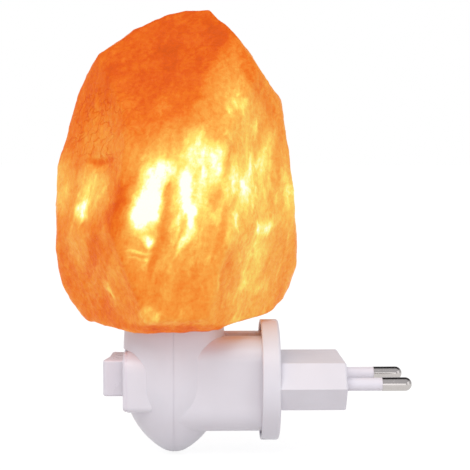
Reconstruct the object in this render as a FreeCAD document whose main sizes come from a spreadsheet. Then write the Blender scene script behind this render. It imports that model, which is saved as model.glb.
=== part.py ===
import FreeCAD, Part
import math
import os
import re
import Sketcher
from FreeCAD import Placement, Rotation, Vector

# Plug-in night light: a rough salt crystal stands on a lampholder that swivels on its own wall plug.
# Origin: middle of the plug's face that meets the socket outlet. +X points into the wall, along the pins.
# +Z is up, and the lampholder's axis is parallel to it. All sizes are in millimetres.

DIMENSIONS = {
    # flat two-pin plug
    "pin_spacing": 19.0,
    "pin_radius": 2.0,
    "pin_length": 19.4,
    "pin_neck": 1.5,
    "pin_collar": 2.4,
    "pin_tail": 10.5,
    "sleeve_length": 10.7,
    "sleeve_radius": 1.9,
    "sleeve_root": 3.0,
    "collar_step": 1.0,
    "block_length": 18.9,
    "block_width": 35.3,
    "block_flat": 26.1,
    "block_height": 13.7,
    "block_rounding": 0.6,
    "chamber_front": 7.0,
    "chamber_width": 24.0,
    "chamber_height": 9.2,
    # hollow flange and snap-in swivel hub
    "flange_radius": 17.75,
    "flange_depth": 5.3,
    "flange_wall": 1.0,
    "flange_floor": 1.4,
    "flange_rounding": 0.8,
    "rim_rounding": 0.3,
    "hub_radius": 8.0,
    "hub_bore": 6.2,
    "hub_end": 27.0,
    "hub_slot": 1.4,
    "hub_slot_root": 2.6,
    "barb_start": 23.9,
    "barb_land": 1.2,
    "barb_radius": 9.0,
    "lug_reach": 10.8,
    "lug_width": 2.8,
    # lamp housing, drawn about the lampholder's axis
    "axis_offset": 49.5,
    "wall": 1.8,
    "tube_radius": 15.05,
    "tube_straight": 8.0,
    "seat_radius": 14.6,
    "seat_height": 16.5,
    "collar_radius": 11.2,
    "collar_bore": 9.6,
    "collar_top": 30.0,
    "nose_depth": 21.3,
    "nose_tip": 7.4,
    "nose_shoulder": 0.5,
    "ledge_bore": 11.85,
    "ledge_bottom": 9.9,
    "ledge_top": 11.3,
    "pocket_radius": 12.8,
    "pocket_top": 14.7,
    "lip_thickness": 0.8,
    "lip_depth": 1.0,
    "lip_play": 0.05,
    "seam_step": 0.15,
    # neck between the housing and the flange
    "neck_end": 21.5,
    "neck_width": 27.0,
    "neck_top": 13.4,
    "neck_bottom": 14.0,
    "neck_corner": 6.2,
    "neck_low_corner": 7.5,
    "neck_wall": 1.6,
    "end_wall": 2.3,
    "swivel_play": 0.08,
    "rib_height": 1.3,
    "rib_drop": 1.6,
    "rib_reach": 9.6,
    "rib_length": 1.6,
    "channel_width": 6.0,
    "channel_depth": 0.9,
    "channel_length": 13.0,
    # switch boss, frame and rocker
    "boss_reach": 13.3,
    "boss_depth": 7.0,
    "boss_width": 25.6,
    "boss_height": 17.3,
    "boss_middle": 1.05,
    "boss_corner": 5.6,
    "boss_low_corner": 1.8,
    "bezel_depth": 1.4,
    "bezel_inset": 0.25,
    "bezel_rounding": 1.0,
    "frame_width": 21.0,
    "frame_height": 12.6,
    "frame_depth": 11.75,
    "frame_wall": 1.2,
    "rocker_middle": 1.75,
    "rocker_width": 17.0,
    "rocker_height": 10.6,
    "rocker_reach": 7.9,
    "rocker_tilt": 6.5,
    "rocker_window": 19.0,
    "rocker_play": 0.15,
    "rocker_dish": 0.7,
    "rocker_back": 2.0,
    "key_end_rounding": 1.1,
    "key_side_rounding": 0.7,
    "pivot_inset": 12.0,
    "trunnion_radius": 1.0,
    "trunnion_play": 0.05,
    "plunger_radius": 1.2,
    "plunger_bore": 1.3,
    "plunger_bore_depth": 6.0,
    "plunger_reach": 5.4,
    "terminal_width": 3.0,
    "terminal_thickness": 0.7,
    "terminal_spacing": 6.0,
    "terminal_plane": 1.05,
    "contact_plane": -3.04,
    "blade_plane": -4.5,
    "blade_thickness": 0.5,
    "blade_tilt": 5.2,
    "blade_stop_height": 1.0,
    "blade_stop_near": 3.2,
    "blade_stop_far": 5.2,
    "slot_play": 0.05,
    "button_height": 0.5,
    # lampholder and bulb
    "holder_radius": 9.4,
    "holder_flange": 12.6,
    "holder_bottom": 8.2,
    "holder_floor": 10.5,
    "holder_top": 31.0,
    "thread_outer": 7.4,
    "thread_inner": 7.05,
    "cap_radius": 6.9,
    "cap_bottom": 15.0,
    "cap_top": 32.5,
    "contact_bottom": 12.9,
    "rivet_radius": 1.2,
    "rivet_tail": 2.5,
    "strip_inset": 1.6,
    "strip_thickness": 0.7,
    "bulb_radius": 11.0,
    "bulb_middle": 56.0,
    "bulb_neck": 6.4,
    "bulb_neck_top": 37.0,
    "glass": 0.6,
    "stem_top": 42.4,
    # spring clips and wiring
    "clip_wire": 0.5,
    "clip_leg": 10.6,
    "clip_spread": 12.8,
    "clip_bend": 0.9,
    "lead_radius": 0.8,
    # crystal
    "crystal_bore": 13.6,
    "crystal_bore_top": 76.0,
    "crystal_base": 16.5,
}

doc = FreeCAD.newDocument("salt_crystal_night_light")
sheet = doc.addObject("Spreadsheet::Sheet", "dims")
for row, (alias, number) in enumerate(DIMENSIONS.items(), 1):
    sheet.set(f"A{row}", alias.replace("_", " "))
    sheet.set(f"B{row}", str(number))
    sheet.setAlias(f"B{row}", alias)
doc.recompute()

parts = []


# ---- small tools -----------------------------------------------------------------------------------------


def formula(text):
    """The text with each dimension's name turned into a reference to its cell."""

    def cell(word):
        name = word.group()
        return f"dims.{name}" if name in DIMENSIONS else name

    return re.sub(r"[a-z_]+", cell, str(text))


def value(text):
    """The number that a formula over the dimensions gives."""
    return float(sheet.evalExpression(str(text)))


def place(part, at):
    """Puts a part's own origin at three formulas."""
    for axis, text in zip("xyz", at):
        part.setExpression(f"Placement.Base.{axis}", formula(text))


LAMP_AXIS = ("-axis_offset", 0, 0)
SWITCH_PIVOT = ("-axis_offset - pivot_inset", 0, "rocker_middle")
BLADE_AXIS = ("-axis_offset + blade_plane", 0, "rocker_middle")


def new_body(label, at=(0, 0, 0)):
    body = doc.addObject("PartDesign::Body", label)
    body.Label = label
    place(body, at)
    parts.append(body)
    return body


def new_sketch(body, name, plane, offset=0, turn=0):
    """A sketch on one of the body's origin planes, moved along its normal and turned in its plane."""
    sketch = body.newObject("Sketcher::SketchObject", name)
    support = next(o for o in body.Origin.OriginFeatures if o.Role == plane)
    sketch.AttachmentSupport = [(support, "")]
    sketch.MapMode = "FlatFace"
    sketch.AttachmentOffset = Placement(Vector(), Rotation(Vector(0, 0, 1), turn))
    sketch.setExpression("AttachmentOffset.Base.z", formula(offset))
    return sketch


def hold_point(sketch, geometry, end, across, up):
    """Ties a point of the sketch to two formulas, measured from the sketch's origin."""
    for kind, text, own_axis in (("DistanceX", across, -2), ("DistanceY", up, -1)):
        distance = value(text)
        if abs(distance) < 1e-9:
            sketch.addConstraint(Sketcher.Constraint("PointOnObject", geometry, end, own_axis))
        else:
            rule = Sketcher.Constraint(kind, -1, 1, geometry, end, distance)
            sketch.setExpression(f"Constraints[{sketch.addConstraint(rule)}]", formula(text))


def arc_middle(start, end, centre):
    """The point halfway along the shorter arc about a centre."""
    out = (start + end) / 2 - centre
    return centre + out / out.Length * (start - centre).Length


def outline(sketch, corners):
    """A closed outline of (across, up) corners. An arc to the next adds its centre and its radius."""
    points = [Vector(value(c[0]), value(c[1]), 0) for c in corners]
    first = sketch.GeometryCount
    ends = []
    for i, corner in enumerate(corners):
        start, end = points[i], points[(i + 1) % len(points)]
        if len(corner) == 2:
            sketch.addGeometry(Part.LineSegment(start, end))
        else:
            centre = Vector(value(corner[2]), value(corner[3]), 0)
            sketch.addGeometry(Part.Arc(start, arc_middle(start, end, centre), end))
        in_order = (sketch.getPoint(first + i, 1) - start).Length < 1e-6
        ends.append((1, 2) if in_order else (2, 1))
    for i, corner in enumerate(corners):
        following = (i + 1) % len(corners)
        join = Sketcher.Constraint("Coincident", first + i, ends[i][1], first + following, ends[following][0])
        sketch.addConstraint(join)
        hold_point(sketch, first + i, ends[i][0], corner[0], corner[1])
        if len(corner) == 5:
            rule = Sketcher.Constraint("Radius", first + i, value(corner[4]))
            sketch.setExpression(f"Constraints[{sketch.addConstraint(rule)}]", formula(corner[4]))


def circle(sketch, across, up, radius):
    centre = Vector(value(across), value(up), 0)
    ring = sketch.addGeometry(Part.Circle(centre, Vector(0, 0, 1), value(radius)))
    hold_point(sketch, ring, 3, across, up)
    rule = Sketcher.Constraint("Radius", ring, value(radius))
    sketch.setExpression(f"Constraints[{sketch.addConstraint(rule)}]", formula(radius))


def rectangle(sketch, left, right, bottom, top):
    outline(sketch, [(left, bottom), (right, bottom), (right, top), (left, top)])


def rounded_rectangle(sketch, half_width, bottom, top, corner, low_corner):
    """A rectangle centred across, with one radius for its upper corners and one for its lower corners."""
    side = f"({half_width})"
    inner, low_inner = f"({half_width} - {corner})", f"({half_width} - {low_corner})"
    low, high = f"({bottom} + {low_corner})", f"({top} - {corner})"
    outline(sketch, [
        (f"-{low_inner}", bottom), (low_inner, bottom, low_inner, low, low_corner),
        (side, low), (side, high, inner, high, corner),
        (inner, top), (f"-{inner}", top, f"-{inner}", high, corner),
        (f"-{side}", high), (f"-{side}", low, f"-{low_inner}", low, low_corner),
    ])


def feature(body, kind, name, cuts, **settings):
    """Adds a feature, recomputes it and tests that it adds or takes away material."""
    before = body.Shape.Volume if body.Tip else 0
    made = body.newObject(f"PartDesign::{kind}", name)
    for key, setting in settings.items():
        if isinstance(setting, str):
            made.setExpression(key, formula(setting))
        else:
            setattr(made, key, setting)
    body.Tip = made
    doc.recompute()
    change = body.Shape.Volume - before
    if made.State != ["Up-to-date"] or (change >= 0 if cuts else change <= 0):
        raise RuntimeError(f"{body.Label}.{name}: state {made.State}, volume change {change:.3f}")
    return made


def pad(body, name, sketch, length, backwards=False):
    return feature(body, "Pad", name, False, Profile=sketch, Length=length, Reversed=backwards)


def pocket(body, name, sketch, length, backwards=False):
    return feature(body, "Pocket", name, True, Profile=sketch, Length=length, Reversed=backwards)


def revolve(body, name, sketch, axis, angle=360, backwards=False):
    return feature(body, "Revolution", name, False, Profile=sketch, ReferenceAxis=(sketch, [axis]),
                   Angle=angle, Reversed=backwards)


def groove(body, name, sketch, axis):
    return feature(body, "Groove", name, True, Profile=sketch, ReferenceAxis=(sketch, [axis]), Angle=360)


def fillet(body, name, radius, wanted):
    """Rounds the edges of the body that the test accepts, given each edge's box in the body's own frame."""
    base = body.Tip
    names = [f"Edge{i}" for i, edge in enumerate(base.Shape.Edges, 1) if wanted(edge)]
    return feature(body, "Fillet", name, True, Base=(base, names), Radius=radius)


def lies_at(edge, axis, place_text):
    """True for an edge that lies in one plane square to an axis."""
    box = edge.BoundBox
    low, high = getattr(box, axis + "Min"), getattr(box, axis + "Max")
    at = value(place_text)
    return abs(low - at) < 1e-4 and abs(high - at) < 1e-4


def turned_part(label, at, plane, axis, corners):
    """A part that is one turned profile."""
    body = new_body(label, at)
    profile = new_sketch(body, f"{label}_profile", plane)
    outline(profile, corners)
    revolve(body, f"{label}_turned", profile, axis)
    return body


def solid_feature(label, shape, at=(0, 0, 0)):
    """A part whose shape is made directly, then placed."""
    part = doc.addObject("Part::Feature", label)
    part.Label = label
    part.Shape = shape
    place(part, at)
    parts.append(part)
    return part


# ---- plug ------------------------------------------------------------------------------------------------


def plug_housing():
    """Flat plug block, hollow flange and the slotted snap hub that the lamp turns on, moulded in one."""
    body = new_body("plug_housing")

    section = new_sketch(body, "block_section", "YZ_Plane")
    outline(section, [
        ("-block_flat / 2", "block_height / 2"), ("block_flat / 2", "block_height / 2"),
        ("block_width / 2", 0),
        ("block_flat / 2", "-block_height / 2"), ("-block_flat / 2", "-block_height / 2"),
        ("-block_width / 2", 0),
    ])
    pad(body, "block", section, "block_length", backwards=True)
    fillet(body, "block_front_rounding", "block_rounding", lambda edge: lies_at(edge, "X", 0))
    fillet(body, "block_edge_rounding", "block_rounding",
           lambda edge: edge.BoundBox.XLength > 10 and abs(edge.BoundBox.Center.z) > 1)

    rim = "-block_length - flange_depth"
    floor = "-block_length - flange_floor"
    profile = new_sketch(body, "flange_and_hub_profile", "XZ_Plane")
    outline(profile, [
        ("-block_length", "hub_bore"), ("-block_length", "flange_radius"), (rim, "flange_radius"),
        (rim, "flange_radius - flange_wall"), (floor, "flange_radius - flange_wall"), (floor, "hub_radius"),
        ("-barb_start", "hub_radius"), ("-barb_start", "barb_radius"),
        ("-barb_start - barb_land", "barb_radius"), ("-hub_end", "hub_radius"), ("-hub_end", "hub_bore"),
    ])
    revolve(body, "flange_and_hub", profile, "H_Axis")
    fillet(body, "flange_front_rounding", "flange_rounding",
           lambda edge: lies_at(edge, "X", "-block_length") and edge.BoundBox.ZLength > 35)
    fillet(body, "flange_rim_rounding", "rim_rounding", lambda edge: lies_at(edge, "X", rim))

    lug = new_sketch(body, "stop_lug_section", "YZ_Plane", "-barb_start")
    rectangle(lug, "-lug_width / 2", "lug_width / 2", "barb_radius - 0.5", "lug_reach")
    pad(body, "stop_lug", lug, "barb_land", backwards=True)

    slot = new_sketch(body, "hub_slot_section", "YZ_Plane", "-hub_end", turn=45)
    rectangle(slot, "-barb_radius - 1", "barb_radius + 1", "-hub_slot / 2", "hub_slot / 2")
    cut = pocket(body, "hub_slot_cut", slot, "hub_end - block_length - hub_slot_root", backwards=True)
    feature(body, "PolarPattern", "hub_slots", True, Originals=[cut], Axis=(slot, ["N_Axis"]), Angle=90,
            Occurrences=2)

    chamber = new_sketch(body, "chamber_section", "YZ_Plane", "-chamber_front")
    rectangle(chamber, "-chamber_width / 2", "chamber_width / 2", "-chamber_height / 2", "chamber_height / 2")
    pocket(body, "terminal_chamber", chamber, "block_length - chamber_front")
    for name, radius, depth in (("sleeve_seats", "sleeve_radius", "sleeve_root"),
                                ("pin_holes", "pin_neck", "chamber_front")):
        holes = new_sketch(body, f"{name}_section", "YZ_Plane")
        circle(holes, "pin_spacing / 2", 0, radius)
        circle(holes, "-pin_spacing / 2", 0, radius)
        pocket(body, name, holes, depth)
    seats = new_sketch(body, "pin_collar_seats_section", "YZ_Plane", "-chamber_front")
    circle(seats, "pin_spacing / 2", 0, "pin_collar")
    circle(seats, "-pin_spacing / 2", 0, "pin_collar")
    pocket(body, "pin_collar_seats", seats, "chamber_front - sleeve_root - collar_step", backwards=True)


def pin(label, side):
    """Nickel-plated pin: round end, waist under its sleeve, collar that seats from inside, and tail."""
    collar_front = "-sleeve_root - collar_step"
    turned_part(label, (0, f"{side} * pin_spacing / 2", 0), "XZ_Plane", "H_Axis", [
        ("-pin_tail", 0), ("pin_length", 0, "pin_length - pin_radius", 0, "pin_radius"),
        ("pin_length - pin_radius", "pin_radius"), ("sleeve_length", "pin_radius"),
        ("sleeve_length", "pin_neck"), (collar_front, "pin_neck"), (collar_front, "pin_collar"),
        ("-chamber_front", "pin_collar"), ("-chamber_front", "pin_neck"), ("-pin_tail", "pin_neck"),
    ])


def pin_sleeve(label, side):
    turned_part(label, (0, f"{side} * pin_spacing / 2", 0), "XZ_Plane", "H_Axis", [
        ("-sleeve_root", "pin_neck"), ("sleeve_length", "pin_neck"), ("sleeve_length", "sleeve_radius"),
        ("-sleeve_root", "sleeve_radius"),
    ])


# ---- housing ---------------------------------------------------------------------------------------------

# The nose is a tip arc and a side arc that meet without a corner. The side arc ends upright at the shoulder.
TIP_CENTRE = "(nose_depth - nose_tip)"
RISE = f"(nose_shoulder + {TIP_CENTRE})"
SIDE_RADIUS = f"((tube_radius^2 + {RISE}^2 - nose_tip^2) / (2 * (tube_radius - nose_tip)))"
REACH = f"({SIDE_RADIUS} - nose_tip)"


def nose_outline(inset, top):
    """The nose's corners from its tip up one side of the tube, drawn inward by the inset."""
    tip = f"(nose_tip - {inset})"
    side = f"({SIDE_RADIUS} - {inset})"
    meet = (f"{tip} * ({SIDE_RADIUS} - tube_radius) / {REACH}", f"-{TIP_CENTRE} - {tip} * {RISE} / {REACH}")
    return [
        (0, f"-(nose_depth - {inset})", 0, f"-{TIP_CENTRE}", tip),
        (*meet, f"tube_radius - {SIDE_RADIUS}", "nose_shoulder", side),
        (f"tube_radius - {inset}", "nose_shoulder"),
        (f"tube_radius - {inset}", top),
    ]


def reversed_path(corners):
    """The same corners from the last to the first, each arc moved to the corner that it now starts from."""
    arcs = [corner[2:] for corner in corners]
    return [(*corners[i][:2], *(arcs[i - 1] if i else ())) for i in reversed(range(len(corners)))]


def seam_band(body, name, slack):
    """Sketch of the band beside the cavity that one shell's lip and the other's rebate share at the seam."""
    band = new_sketch(body, f"{name}_section", "YZ_Plane")
    inner = nose_outline("wall", "ledge_bottom")
    outer = nose_outline(f"(wall - lip_thickness - {slack})", "ledge_bottom")
    outline(band, [*inner, *reversed_path(outer)])
    return band


def both_sides(body, name, cuts, made):
    """Repeats a feature on the other side of the lamp's upright middle plane."""
    plane = next(o for o in body.Origin.OriginFeatures if o.Role == "XZ_Plane")
    feature(body, "Mirrored", name, cuts, Originals=[made], MirrorPlane=(plane, [""]))


def seam_shadow(body, label, sign):
    """Fine step round the outside of a shell, so that the two halves meet in a shallow shadow line."""
    step = new_sketch(body, f"{label}_seam_step_section", "YZ_Plane")
    outer = nose_outline("(0 - wall)", "tube_straight")
    outline(step, [
        *nose_outline("seam_step", "tube_straight"), ("seat_radius - seam_step", "seat_height"),
        ("tube_radius + wall", "seat_height"), *reversed_path(outer),
    ])
    cut = pocket(body, f"{label}_seam_step", step, "seam_step", backwards=sign > 0)
    both_sides(body, f"{label}_seam_steps", True, cut)


def boss_sketch(body, name):
    sketch = new_sketch(body, name, "YZ_Plane", "-boss_reach")
    rounded_rectangle(sketch, "boss_width / 2", "boss_middle - boss_height / 2",
                      "boss_middle + boss_height / 2", "boss_corner", "boss_low_corner")
    return sketch


def shell(label, sign):
    """One half of the housing, hollowed: the switch's half for sign -1, the plug's half for 1."""
    body = new_body(label, LAMP_AXIS)
    form = new_sketch(body, f"{label}_form", "YZ_Plane")
    outline(form, [
        *nose_outline(0, "tube_straight"), ("seat_radius", "seat_height"), ("collar_radius", "seat_height"),
        ("collar_radius", "collar_top"), (0, "collar_top"),
    ])
    revolve(body, f"{label}_outside", form, "V_Axis", angle=180, backwards=sign > 0)
    seam_shadow(body, label, sign)
    if sign > 0:
        neck = new_sketch(body, "neck_section", "YZ_Plane")
        rounded_rectangle(neck, "neck_width / 2", "-neck_bottom", "neck_top", "neck_corner",
                          "neck_low_corner")
        pad(body, "neck", neck, "axis_offset - neck_end")
    else:
        pad(body, "switch_boss", boss_sketch(body, "boss_section"), "boss_depth")
        pocket(body, "boss_face", boss_sketch(body, "boss_face_section"), "tube_radius - boss_reach + 1")

    cavity = new_sketch(body, f"{label}_cavity", "YZ_Plane")
    outline(cavity, [
        *nose_outline("wall", "ledge_bottom"), ("ledge_bore", "ledge_bottom"), ("ledge_bore", "ledge_top"),
        ("pocket_radius", "ledge_top"), ("pocket_radius", "pocket_top"), ("collar_bore", "pocket_top"),
        ("collar_bore", "collar_top + 1"), (0, "collar_top + 1"),
    ])
    groove(body, f"{label}_hollow", cavity, "V_Axis")

    channels = new_sketch(body, f"{label}_clip_channel_section", "XY_Plane", "collar_top")
    half = "(clip_wire + lip_play)"
    for side in (1, -1):
        ends = (f"{side} * (clip_leg - {half})", f"{side} * (collar_radius + 1)")
        rectangle(channels, f"-{half}", half, *sorted(ends, key=value))
    pocket(body, f"{label}_clip_channels", channels, "collar_top - seat_height - 1")
    return body


def switch_side_shell():
    body = shell("switch_side_shell", -1)
    window = new_sketch(body, "switch_window_section", "YZ_Plane", "-boss_reach")
    rectangle(window, "-frame_width / 2", "frame_width / 2", "rocker_middle - frame_height / 2",
              "rocker_middle + frame_height / 2")
    pocket(body, "switch_window", window, "boss_depth + 1", backwards=True)
    rebate = pocket(body, "seam_rebate", seam_band(body, "seam_rebate", "lip_play"), "lip_depth + lip_play")
    both_sides(body, "seam_rebates", True, rebate)


def plug_side_shell():
    body = shell("plug_side_shell", 1)
    inside = new_sketch(body, "neck_cavity_section", "YZ_Plane", "axis_offset - neck_end - end_wall")
    rounded_rectangle(inside, "(neck_width / 2 - neck_wall)", "-(neck_bottom - neck_wall)",
                      "(neck_top - neck_wall)", "(neck_corner - neck_wall)", "(neck_low_corner - neck_wall)")
    pocket(body, "neck_cavity", inside, "axis_offset - neck_end - end_wall")
    bore = new_sketch(body, "swivel_bore_section", "YZ_Plane", "axis_offset - neck_end")
    circle(bore, 0, 0, "hub_radius + swivel_play")
    pocket(body, "swivel_bore", bore, "end_wall + 0.5")
    ribs = new_sketch(body, "stop_rib_section", "YZ_Plane", "axis_offset - neck_end - end_wall - rib_length")
    for side in (1, -1):
        ends = (f"{side} * rib_reach", f"{side} * (neck_width / 2 - neck_wall / 2)")
        rectangle(ribs, *sorted(ends, key=value), "-rib_drop - rib_height", "-rib_drop")
    pad(body, "stop_ribs", ribs, "rib_length + end_wall / 4")
    channel = new_sketch(body, "top_channel_section", "YZ_Plane", "axis_offset - neck_end")
    rectangle(channel, "-channel_width / 2", "channel_width / 2", "neck_top - channel_depth",
              "neck_top + 0.5")
    pocket(body, "top_channel", channel, "channel_length")
    lip = pad(body, "seam_lip", seam_band(body, "seam_lip", 0), "lip_depth", backwards=True)
    both_sides(body, "seam_lips", False, lip)


# ---- switch ----------------------------------------------------------------------------------------------


def switch_frame():
    """Snap-in frame of the rocker switch: bezel, box with a floor, and holes for the rocker's trunnions."""
    body = new_body("switch_frame", LAMP_AXIS)
    middle = "rocker_middle"
    plate = new_sketch(body, "bezel_section", "YZ_Plane", "-boss_reach - bezel_depth")
    rounded_rectangle(plate, "(boss_width / 2 - bezel_inset)",
                      "(boss_middle - boss_height / 2 + bezel_inset)",
                      "(boss_middle + boss_height / 2 - bezel_inset)",
                      "(boss_corner - bezel_inset)", "(boss_low_corner - bezel_inset)")
    pad(body, "bezel", plate, "bezel_depth")
    fillet(body, "bezel_front_rounding", "bezel_rounding",
           lambda edge: lies_at(edge, "X", "-boss_reach - bezel_depth"))
    box = new_sketch(body, "box_section", "YZ_Plane", "-boss_reach")
    rectangle(box, "-frame_width / 2", "frame_width / 2", f"{middle} - frame_height / 2",
              f"{middle} + frame_height / 2")
    pad(body, "box", box, "frame_depth")
    hollow = new_sketch(body, "hollow_section", "YZ_Plane", "-boss_reach - bezel_depth")
    play = "(rocker_height / 2 + rocker_play)"
    rectangle(hollow, "-rocker_window / 2", "rocker_window / 2", f"{middle} - {play}", f"{middle} + {play}")
    pocket(body, "hollow", hollow, "bezel_depth + frame_depth - frame_wall", backwards=True)
    holes = new_sketch(body, "trunnion_hole_section", "XY_Plane", f"{middle} - frame_height / 2")
    circle(holes, "-pivot_inset", 0, "trunnion_radius + trunnion_play")
    pocket(body, "trunnion_holes", holes, "frame_height", backwards=True)
    slots = new_sketch(body, "terminal_slot_section", "YZ_Plane", "-boss_reach + frame_depth")
    half, half_thick = "(terminal_width / 2 + slot_play)", "(terminal_thickness / 2 + slot_play / 2)"
    for side in (0, -1):
        rectangle(slots, f"{side} * terminal_spacing - {half}", f"{side} * terminal_spacing + {half}",
                  f"{middle} - {half_thick}", f"{middle} + {half_thick}")
    pocket(body, "terminal_slots", slots, "frame_wall + 0.5")
    stop = new_sketch(body, "blade_stop_section", "YZ_Plane", "-boss_reach + frame_depth - frame_wall")
    rectangle(stop, "blade_stop_near", "blade_stop_far", f"{middle} - terminal_width / 2",
              f"{middle} + terminal_width / 2")
    pad(body, "blade_stop", stop, "blade_stop_height", backwards=True)


def rocker():
    """The rocker in its own frame, pivot upright at the origin, tilted as the switch stands when it is on."""
    body = new_body("rocker", SWITCH_PIVOT)
    body.setExpression("Placement.Rotation.Angle", formula("rocker_tilt"))
    body.Placement.Rotation = Rotation(Vector(0, 0, -1), value("rocker_tilt"))
    half = "(rocker_width / 2)"
    key = new_sketch(body, "key_section", "XY_Plane", "-rocker_height / 2")
    outline(key, [
        ("-rocker_reach", f"-{half}"), ("-rocker_reach + rocker_dish", 0), ("-rocker_reach", half),
        (-1.2, f"{half} - 0.6"), ("rocker_back", 3), ("rocker_back", -3), (-1.2, f"-({half} - 0.6)"),
    ])
    pad(body, "key", key, "rocker_height")
    face_x = value("-rocker_reach")
    fillet(body, "key_ends", "key_end_rounding",
           lambda edge: edge.BoundBox.ZLength > 5 and abs(edge.BoundBox.XMin - face_x) < 0.01)
    fillet(body, "key_sides", "key_side_rounding",
           lambda edge: abs(edge.BoundBox.ZLength) < 1e-3 and edge.BoundBox.XMax < face_x + 3)
    stub = new_sketch(body, "trunnion_section", "XY_Plane", "-frame_height / 2 + rocker_play")
    circle(stub, 0, 0, "trunnion_radius")
    pad(body, "trunnions", stub, "frame_height - 2 * rocker_play")
    bore = new_sketch(body, "plunger_bore_section", "YZ_Plane", "rocker_back")
    circle(bore, 0, 0, "plunger_bore")
    pocket(body, "plunger_bore_cut", bore, "plunger_bore_depth")


def tilted_with_rocker(part):
    """Gives a switch part the rocker's tilt about the pivot."""
    part.Placement.Rotation = Rotation(Vector(0, 0, -1), value("rocker_tilt"))


def switch_plunger():
    """Plunger that slides in the rocker's bore and presses the contact blade."""
    body = turned_part("switch_plunger", SWITCH_PIVOT, "XZ_Plane", "H_Axis", [
        (-0.5, 0), ("plunger_reach", 0, "plunger_reach - plunger_radius", 0, "plunger_radius"),
        ("plunger_reach - plunger_radius", "plunger_radius"), (-0.5, "plunger_radius"),
    ])
    tilted_with_rocker(body)


# ---- lampholder ------------------------------------------------------------------------------------------


def lampholder_body():
    """Insulating holder for a small screw cap: tube, floor, and the flange that the housing traps."""
    body = turned_part("lampholder_body", LAMP_AXIS, "XZ_Plane", "V_Axis", [
        (0, "holder_bottom"), ("holder_radius", "holder_bottom"), ("holder_radius", "ledge_top + lip_play"),
        ("holder_flange", "ledge_top + lip_play"), ("holder_flange", "pocket_top - lip_play"),
        ("holder_radius", "pocket_top - lip_play"), ("holder_radius", "holder_top"),
        ("thread_outer", "holder_top"), ("thread_outer", "holder_floor"), (0, "holder_floor"),
    ])
    holes = new_sketch(body, "contact_hole_section", "XY_Plane", "holder_bottom")
    circle(holes, 0, 0, "rivet_radius")
    rectangle(holes, "thread_inner - strip_inset", "thread_inner - strip_inset + strip_thickness", -2, 2)
    pocket(body, "contact_holes", holes, "holder_floor - holder_bottom + 1", backwards=True)


def threaded_shell():
    turned_part("threaded_shell", LAMP_AXIS, "XZ_Plane", "V_Axis", [
        ("thread_inner", "holder_floor"), ("thread_outer", "holder_floor"),
        ("thread_outer", "holder_top - 1"), ("thread_inner", "holder_top - 1"),
    ])


def centre_contact():
    """Riveted leaf spring under the bulb's tip."""
    body = new_body("centre_contact", LAMP_AXIS)
    leaf = new_sketch(body, "leaf_section", "XZ_Plane", -2)
    outline(leaf, [
        (-4, "holder_floor"), (3, "holder_floor"), (3, "holder_floor + 0.4"), (-2.6, "holder_floor + 0.4"),
        (-1.2, "contact_bottom - 0.4"), (1.8, "contact_bottom - 0.4"), (1.8, "contact_bottom"),
        (-1.5, "contact_bottom"), (-4, "holder_floor + 0.8"),
    ])
    pad(body, "leaf", leaf, 4)
    rivet = new_sketch(body, "rivet_section", "XY_Plane", "holder_bottom - rivet_tail")
    circle(rivet, 0, 0, "rivet_radius")
    pad(body, "rivet", rivet, "holder_floor - holder_bottom + rivet_tail + 0.1")


def side_contact():
    """Strip that joins the threaded shell and passes out through the holder's floor."""
    body = new_body("side_contact", LAMP_AXIS)
    strip = new_sketch(body, "strip_section", "XZ_Plane", -2)
    inner = "thread_inner - strip_inset"
    outer = f"{inner} + strip_thickness"
    outline(strip, [
        (inner, "holder_bottom - 3"), (outer, "holder_bottom - 3"), (outer, "holder_floor + 1.2"),
        ("thread_inner - 0.3", "holder_floor + 2.6"), ("thread_inner - 0.3", "holder_floor + 3.4"),
        ("thread_inner - 1.0", "holder_floor + 3.4"), ("thread_inner - 1.0", "holder_floor + 2.8"),
        (inner, "holder_floor + 1.4"),
    ])
    pad(body, "strip", strip, 4)


# ---- bulb ------------------------------------------------------------------------------------------------


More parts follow.
